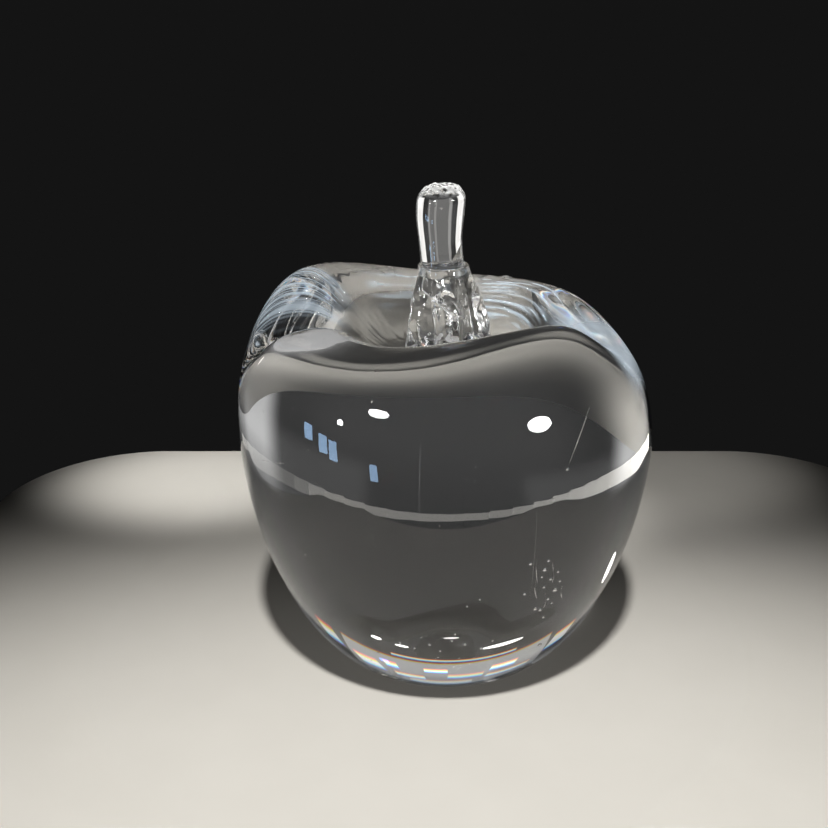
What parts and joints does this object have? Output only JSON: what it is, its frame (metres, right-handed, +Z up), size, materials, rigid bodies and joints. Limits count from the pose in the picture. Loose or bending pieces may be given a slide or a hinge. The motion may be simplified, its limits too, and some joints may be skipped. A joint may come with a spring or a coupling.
{
  "type": "glass apple ornament",
  "caption": "Solid clear glass apple with a creased, dimpled top, a pleated glass foot in the dimple, a bowed glass stem and a polished flat base; a paperweight or shelf ornament.",
  "frame": {"origin": "centre of the polished flat base, on the surface that the apple stands on", "axes": "+Z up along the stem, -Y towards the viewer of the picture, +X to the viewer's right"},
  "size_m": [0.088, 0.088, 0.1013],
  "materials": {
    "clear_glass": "fire-polished, clear and colourless",
    "tooled_glass": "clear, pleated and marked by tools",
    "stem_glass": "clear and smooth, with a sheared, frosted tip"
  },
  "bodies": {
    "root": {"apple_body": "clear_glass", "stem_foot": "tooled_glass", "stem": "stem_glass"}
  },
  "joints": []
}
